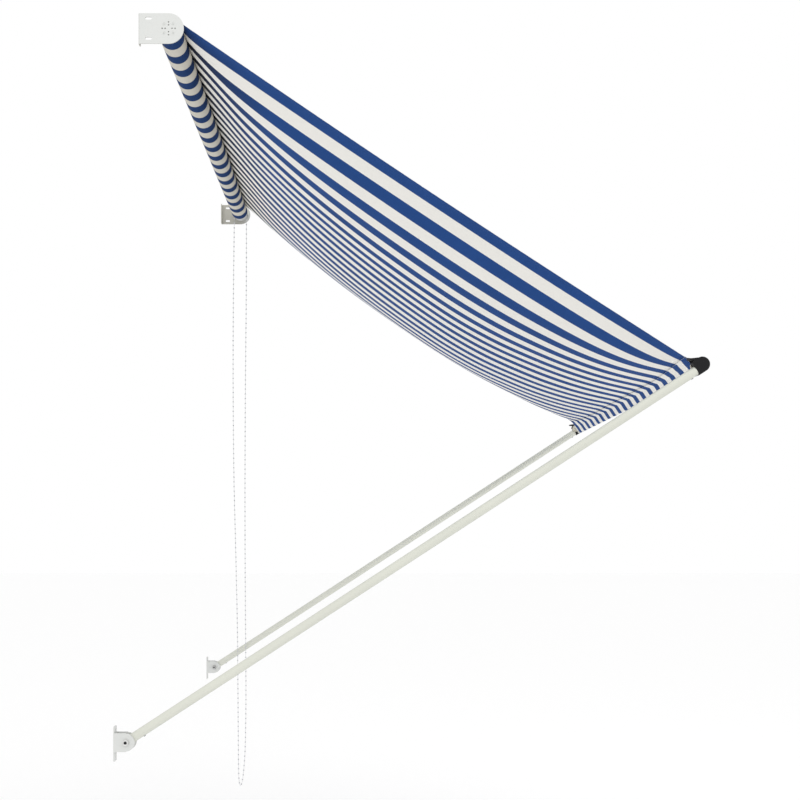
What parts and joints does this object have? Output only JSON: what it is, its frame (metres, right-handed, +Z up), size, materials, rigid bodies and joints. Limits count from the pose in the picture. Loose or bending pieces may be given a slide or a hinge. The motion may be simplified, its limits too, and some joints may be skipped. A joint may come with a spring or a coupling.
{
  "type": "canvas awning",
  "caption": "Drop-arm awning: striped canvas from a wall-mounted roller with a bead-chain drive out to a front bar on pivoting tube arms.",
  "frame": {"origin": "middle of the left roller bracket's wall face, at the height of the roller's axis", "axes": "+X along the width from the idler end to the chain end, +Y towards the wall, +Z up"},
  "size_m": [1.547, 1.2932, 1.9931],
  "materials": {
    "white_paint": "satin powder coat",
    "ivory_paint": "satin powder coat",
    "aluminium": "mill",
    "zinc_steel": "zinc plated",
    "grey_plastic": "moulded",
    "black_plastic": "moulded",
    "tan_plastic": "moulded",
    "chain_plastic": "moulded beads",
    "striped_canvas": "woven, blue and off-white stripes"
  },
  "bodies": {
    "wall_mounts": {"left_roller_bracket": "white_paint", "right_roller_bracket": "white_paint", "idler_holder": "grey_plastic", "clutch_core": "grey_plastic", "chain_guard": "white_paint", "wrap_spring": "zinc_steel", "idler_screw_1": "zinc_steel", "idler_screw_2": "zinc_steel", "idler_screw_3": "zinc_steel", "idler_screw_4": "zinc_steel", "clutch_screw_1": "zinc_steel", "clutch_screw_2": "zinc_steel", "clutch_screw_3": "zinc_steel", "clutch_screw_4": "zinc_steel", "bead_chain": "chain_plastic", "left_foot_bracket": "white_paint", "right_foot_bracket": "white_paint", "left_pivot_bolt": "zinc_steel", "right_pivot_bolt": "zinc_steel", "left_lock_nut": "zinc_steel", "right_lock_nut": "zinc_steel", "canvas": "striped_canvas"},
    "roller": {"roller_tube": "aluminium", "canvas_roll": "striped_canvas", "keder_strip": "grey_plastic", "idler_plug": "black_plastic", "clutch_drum": "grey_plastic", "chain_sprocket": "grey_plastic"},
    "arm_frame": {"left_arm_tube": "ivory_paint", "right_arm_tube": "ivory_paint", "left_foot_plug": "grey_plastic", "right_foot_plug": "grey_plastic", "left_foot_screw": "zinc_steel", "right_foot_screw": "zinc_steel", "left_cap_screw": "zinc_steel", "right_cap_screw": "zinc_steel", "left_bar_plug": "tan_plastic", "right_bar_plug": "tan_plastic", "left_front_cap": "black_plastic", "right_front_cap": "black_plastic", "front_bar": "white_paint"}
  },
  "joints": [
    {"name": "arm_swing", "type": "hinge", "parent": "wall_mounts", "child": "arm_frame", "pos_m": [0, 0.024, -1.5535], "axis": [-1, 0, 0], "range_deg": [0, 51], "deforming": ["canvas"]},
    {"name": "roller_spin", "type": "hinge", "parent": "wall_mounts", "child": "roller", "pos_m": [0, -0.066, 0], "axis": [-1, 0, 0], "range_deg": [0, 2600]}
  ],
  "couplings": [
    {"joint": "roller_spin", "follows": "arm_swing", "ratio": 49}
  ]
}
